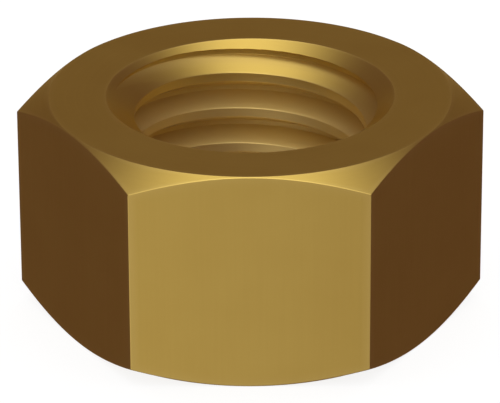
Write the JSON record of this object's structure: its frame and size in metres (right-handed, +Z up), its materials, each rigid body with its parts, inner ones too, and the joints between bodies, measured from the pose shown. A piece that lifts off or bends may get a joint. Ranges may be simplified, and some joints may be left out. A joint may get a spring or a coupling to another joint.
{
  "type": "hex nut",
  "caption": "Hexagon nut with a right-hand internal thread, corner chamfers and countersinks at both ends.",
  "frame": {"origin": "centre of the lower bearing face, on the thread axis", "axes": "+Z up the thread axis, from the lower bearing face to the upper one; -Y through the middle of the front wrench flat; +X through a corner"},
  "size_m": [0.0208, 0.018, 0.01],
  "materials": {
    "brass": "machined, satin, with fine tool marks"
  },
  "bodies": {
    "root": {"hex_nut": "brass"}
  },
  "joints": []
}
